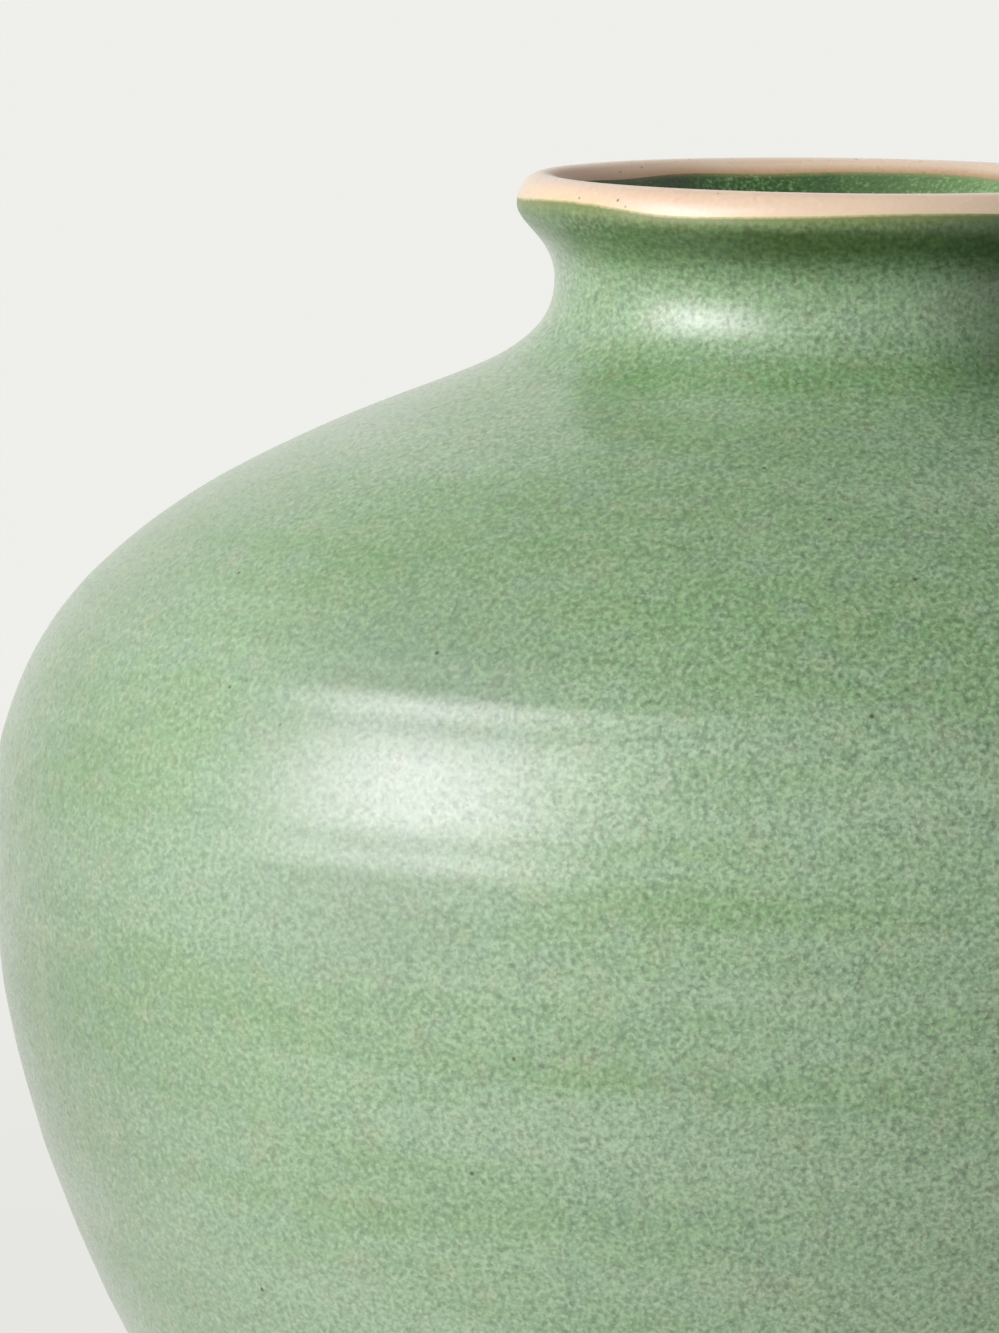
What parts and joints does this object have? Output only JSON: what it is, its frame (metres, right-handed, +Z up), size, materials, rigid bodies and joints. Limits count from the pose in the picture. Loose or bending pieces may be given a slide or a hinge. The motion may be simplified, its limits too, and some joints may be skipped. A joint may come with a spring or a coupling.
{
  "type": "meiping vase",
  "caption": "Squat stoneware vase with a small rolled mouth, high broad shoulder and turned foot, satin green glaze and bare-toned lip.",
  "frame": {"origin": "on the wheel axis, in the plane of the felt pads' undersides", "axes": "+Z up along the wheel axis, which is also the tallest extent; the form is round, so X and Y are free"},
  "size_m": [0.292, 0.292, 0.324],
  "materials": {
    "bare_stoneware": "unglazed, sponged",
    "joint_slip": "fired slip",
    "green_glaze": "satin, mottled",
    "lip_glaze": "satin",
    "liner_glaze": "satin, mottled",
    "felt": "pressed felt",
    "adhesive": "adhesive film"
  },
  "bodies": {
    "root": {"foot_ring": "bare_stoneware", "foot_joint_slip": "joint_slip", "lower_body": "bare_stoneware", "body_joint_slip": "joint_slip", "shoulder": "bare_stoneware", "neck_joint_slip": "joint_slip", "neck_collar": "bare_stoneware", "outer_glaze": "green_glaze", "lip_glaze": "lip_glaze", "inner_glaze": "liner_glaze", "felt_pads": "felt", "pad_adhesive": "adhesive"}
  },
  "joints": []
}
